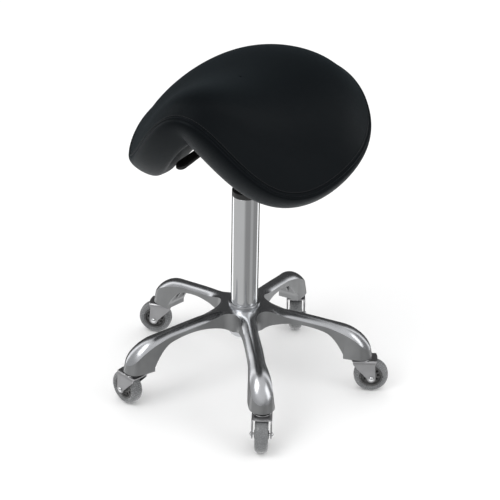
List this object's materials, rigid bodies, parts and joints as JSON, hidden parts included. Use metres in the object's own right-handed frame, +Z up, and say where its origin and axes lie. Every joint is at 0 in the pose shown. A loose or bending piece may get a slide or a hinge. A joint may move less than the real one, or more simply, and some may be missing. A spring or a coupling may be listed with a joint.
{
  "type": "dentist stool",
  "caption": "Height-adjustable saddle stool with a padded saddle seat on a gas lift column and a star base with swivel casters.",
  "frame": {"origin": "on the floor, on the axis of the gas lift column", "axes": "+Z up along the column; +X and +Y level, the saddle pommel pointing to 241 degrees round +Z from +X"},
  "size_m": [0.5062, 0.4879, 0.6279],
  "materials": {
    "polished_aluminium": "polished tops, satin side walls",
    "chrome": "mirror chrome plate",
    "brushed_steel": "satin zinc-plated steel",
    "black_steel": "black powder coat",
    "black_plastic": "fine moulded texture",
    "grey_plastic": "moulded nylon",
    "brass": "knurled insert",
    "rubber": "matt",
    "smoky_polyurethane": "smoky translucent polyurethane",
    "black_leather": "smooth black synthetic leather, semi-gloss"
  },
  "bodies": {
    "base": {"star_base": "polished_aluminium", "column_tube": "chrome", "guide_bush": "black_plastic", "thrust_bearing": "brushed_steel", "caster_stem_1": "brushed_steel", "caster_stem_2": "brushed_steel", "caster_stem_3": "brushed_steel", "caster_stem_4": "brushed_steel", "caster_stem_5": "brushed_steel"},
    "piston": {"piston_rod": "chrome", "retaining_clip": "brushed_steel", "rubber_buffer": "rubber"},
    "seat": {"pressure_tube": "black_steel", "taper_socket": "black_steel", "lever_bracket": "black_steel", "lever_pivot": "brushed_steel", "seat_plate": "black_steel", "seat_pan": "black_plastic", "seat_cushion": "black_leather", "plate_bolt_1": "brushed_steel", "plate_bolt_2": "brushed_steel", "plate_bolt_3": "brushed_steel", "plate_bolt_4": "brushed_steel", "insert_nut_1": "brass", "insert_nut_2": "brass", "insert_nut_3": "brass", "insert_nut_4": "brass"},
    "release_button": {"release_pin": "brushed_steel"},
    "height_lever": {"lever_strap": "black_steel", "lever_grip": "black_plastic"},
    "caster_1": {"caster_fork_1": "brushed_steel", "caster_axle_1": "chrome"},
    "wheel_1": {"wheel_hub_1": "grey_plastic", "wheel_tyre_1": "smoky_polyurethane"},
    "caster_2": {"caster_fork_2": "brushed_steel", "caster_axle_2": "chrome"},
    "wheel_2": {"wheel_hub_2": "grey_plastic", "wheel_tyre_2": "smoky_polyurethane"},
    "caster_3": {"caster_fork_3": "brushed_steel", "caster_axle_3": "chrome"},
    "wheel_3": {"wheel_hub_3": "grey_plastic", "wheel_tyre_3": "smoky_polyurethane"},
    "caster_4": {"caster_fork_4": "brushed_steel", "caster_axle_4": "chrome"},
    "wheel_4": {"wheel_hub_4": "grey_plastic", "wheel_tyre_4": "smoky_polyurethane"},
    "caster_5": {"caster_fork_5": "brushed_steel", "caster_axle_5": "chrome"},
    "wheel_5": {"wheel_hub_5": "grey_plastic", "wheel_tyre_5": "smoky_polyurethane"}
  },
  "joints": [
    {"name": "seat_swivel", "type": "hinge", "parent": "base", "child": "piston", "pos_m": [0, 0, 0.092], "axis": [0, 0, 1], "continuous": true},
    {"name": "seat_height", "type": "slide", "parent": "piston", "child": "seat", "axis": [0, 0, 1], "range_m": [-0.06, 0.08]},
    {"name": "lever_lift", "type": "hinge", "parent": "seat", "child": "height_lever", "pos_m": [-0.01915, -0.01607, 0.5118], "axis": [-0.6428, 0.766, 0], "range_deg": [0, 5], "stiffness_Nm_per_rad": 2},
    {"name": "release_press", "type": "slide", "parent": "seat", "child": "release_button", "axis": [0, 0, -1], "range_m": [0, 0.0025], "stiffness_N_per_m": 500},
    {"name": "caster_swivel_1", "type": "hinge", "parent": "base", "child": "caster_1", "pos_m": [0.03488, -0.22025, 0.069], "axis": [0, 0, 1], "continuous": true},
    {"name": "wheel_spin_1", "type": "hinge", "parent": "caster_1", "child": "wheel_1", "pos_m": [0.03431, -0.23674, 0.03175], "axis": [0.9994, -0.0349, 0], "continuous": true},
    {"name": "caster_swivel_2", "type": "hinge", "parent": "base", "child": "caster_2", "pos_m": [0.22025, -0.03488, 0.069], "axis": [0, 0, 1], "continuous": true},
    {"name": "wheel_spin_2", "type": "hinge", "parent": "caster_2", "child": "wheel_2", "pos_m": [0.23675, -0.03517, 0.03175], "axis": [0.0175, 0.9998, 0], "continuous": true},
    {"name": "caster_swivel_3", "type": "hinge", "parent": "base", "child": "caster_3", "pos_m": [0.10124, 0.19869, 0.069], "axis": [0, 0, 1], "continuous": true},
    {"name": "wheel_spin_3", "type": "hinge", "parent": "caster_3", "child": "wheel_3", "pos_m": [0.10124, 0.18219, 0.03175], "axis": [1, 0, 0], "continuous": true},
    {"name": "caster_swivel_4", "type": "hinge", "parent": "base", "child": "caster_4", "pos_m": [-0.15768, 0.15768, 0.069], "axis": [0, 0, 1], "continuous": true},
    {"name": "wheel_spin_4", "type": "hinge", "parent": "caster_4", "child": "wheel_4", "pos_m": [-0.17376, 0.1614, 0.03175], "axis": [-0.225, -0.9744, 0], "continuous": true},
    {"name": "caster_swivel_5", "type": "hinge", "parent": "base", "child": "caster_5", "pos_m": [-0.19869, -0.10124, 0.069], "axis": [0, 0, 1], "continuous": true},
    {"name": "wheel_spin_5", "type": "hinge", "parent": "caster_5", "child": "wheel_5", "pos_m": [-0.21036, -0.08957, 0.03175], "axis": [-0.7071, -0.7071, 0], "continuous": true}
  ],
  "couplings": [
    {"joint": "release_press", "follows": "lever_lift", "m_per_rad": 0.027}
  ]
}
